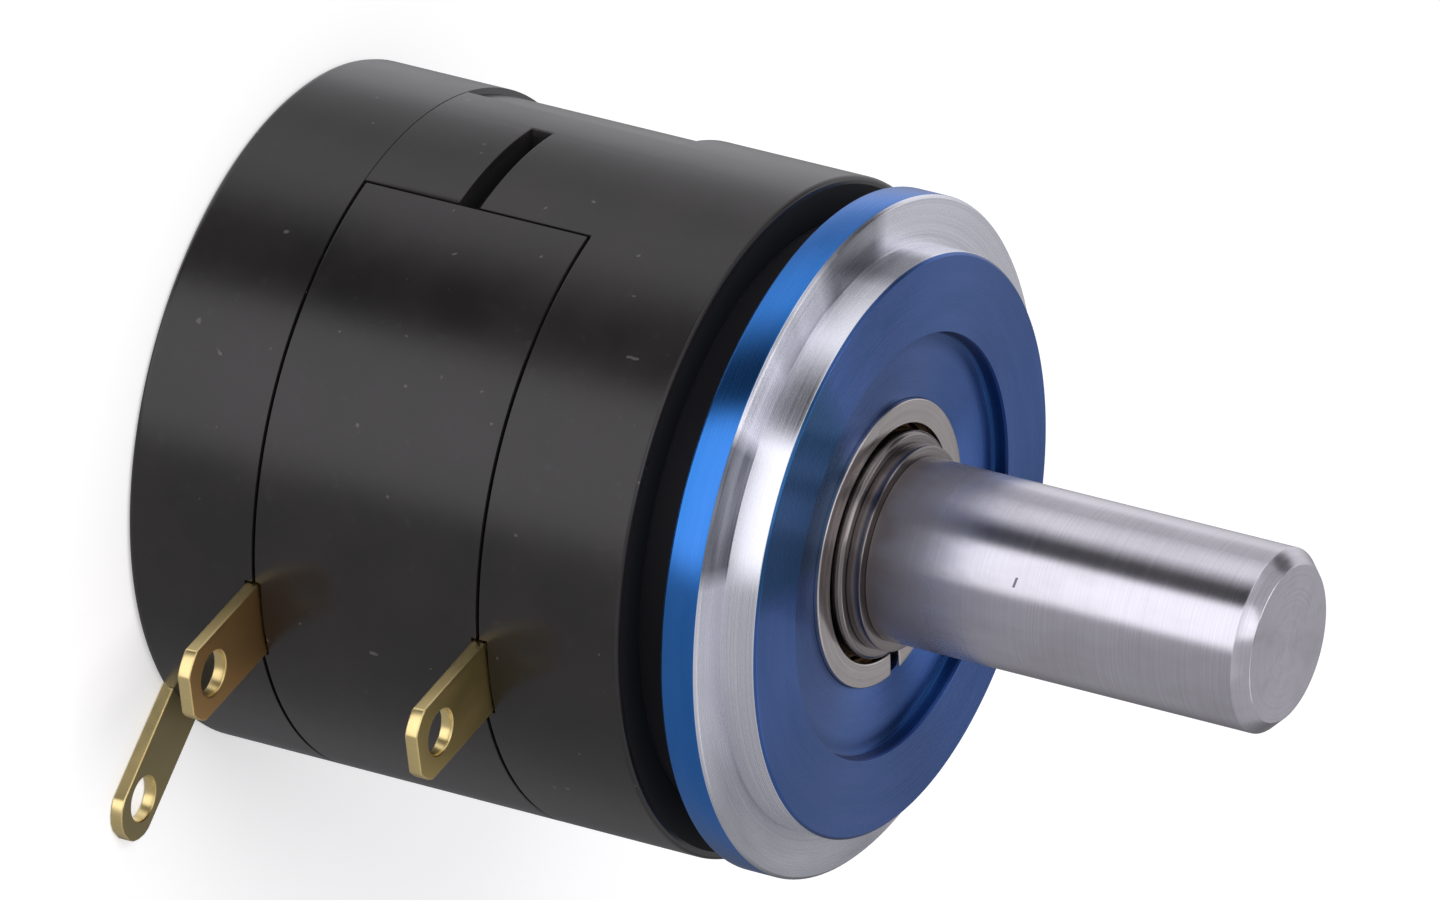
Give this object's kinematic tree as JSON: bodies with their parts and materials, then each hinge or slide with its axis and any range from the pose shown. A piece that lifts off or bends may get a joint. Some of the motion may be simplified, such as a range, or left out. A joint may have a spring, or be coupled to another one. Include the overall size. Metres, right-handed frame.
{
  "type": "multi-turn potentiometer",
  "caption": "Servo-mount multi-turn potentiometer: plain round shaft on ball bearings, anodised flange with pilot and cleat groove, black moulded case, gold-plated solder lugs.",
  "frame": {"origin": "centre of the mounting shoulder, where the pilot rises from the flange", "axes": "+Z along the shaft towards its tip; the two end terminals point along -Y"},
  "size_m": [0.0222, 0.0266, 0.0356],
  "materials": {
    "anodised_flange": "blue anodised face and rim, bare turned shoulder and pilot wall",
    "moulded_body": "satin black glass-filled moulding",
    "nickel_ring": "plated spring steel, warm and slightly dull",
    "collar_steel": "turned steel",
    "shaft_steel": "centreless-ground stainless steel",
    "bearing_steel": "ground and polished",
    "spring_steel": "blank spring steel",
    "spring_bronze": "rolled spring alloy",
    "cage_bronze": "stamped",
    "gold_plate": "gold plated, stamped",
    "resistance_wire": "close-wound resistance wire on an insulated mandrel",
    "moulded_rotor": "natural glass-filled moulding",
    "moulded_carriage": "self-lubricating moulding"
  },
  "bodies": {
    "housing": {"mounting_flange": "anodised_flange", "front_housing": "moulded_body", "side_insert": "moulded_body", "rear_cap": "moulded_body", "retaining_ring": "nickel_ring", "front_outer_ring": "bearing_steel", "rear_outer_ring": "bearing_steel", "preload_washer": "spring_steel", "resistance_element": "resistance_wire", "ccw_terminal": "gold_plate", "cw_terminal": "gold_plate", "wiper_terminal": "gold_plate", "terminal_rivet": "gold_plate", "slip_ring_brush": "spring_bronze", "travel_stops": "moulded_rotor"},
    "rotor": {"shaft": "shaft_steel", "front_spacer": "collar_steel", "shaft_clip": "collar_steel", "front_inner_ring": "bearing_steel", "rear_inner_ring": "bearing_steel", "rotor_hub": "moulded_rotor", "slip_ring": "gold_plate", "collector_rod": "gold_plate"},
    "carriage": {"wiper_carriage": "moulded_carriage", "wiper_contact": "spring_bronze", "pickoff_spring": "spring_bronze"},
    "front_ball_set": {"front_balls": "bearing_steel", "front_cage": "cage_bronze"},
    "rear_ball_set": {"rear_balls": "bearing_steel", "rear_cage": "cage_bronze"}
  },
  "joints": [
    {"name": "shaft_turn", "type": "hinge", "parent": "housing", "child": "rotor", "pos_m": [0, 0, 0], "axis": [0, 0, -1], "range_deg": [0, 3600]},
    {"name": "wiper_travel", "type": "slide", "parent": "rotor", "child": "carriage", "axis": [0, 0, -1], "range_m": [0, 0.0075]},
    {"name": "front_balls_orbit", "type": "hinge", "parent": "housing", "child": "front_ball_set", "pos_m": [0, 0, -0.00085], "axis": [0, 0, -1], "range_deg": [0, 1567.2]},
    {"name": "rear_balls_orbit", "type": "hinge", "parent": "housing", "child": "rear_ball_set", "pos_m": [0, 0, -0.01878], "axis": [0, 0, -1], "range_deg": [0, 1567.2]}
  ],
  "couplings": [
    {"joint": "wiper_travel", "follows": "shaft_turn", "m_per_rad": 0.00011937},
    {"joint": "front_balls_orbit", "follows": "shaft_turn", "ratio": 0.43506},
    {"joint": "rear_balls_orbit", "follows": "shaft_turn", "ratio": 0.43506}
  ]
}
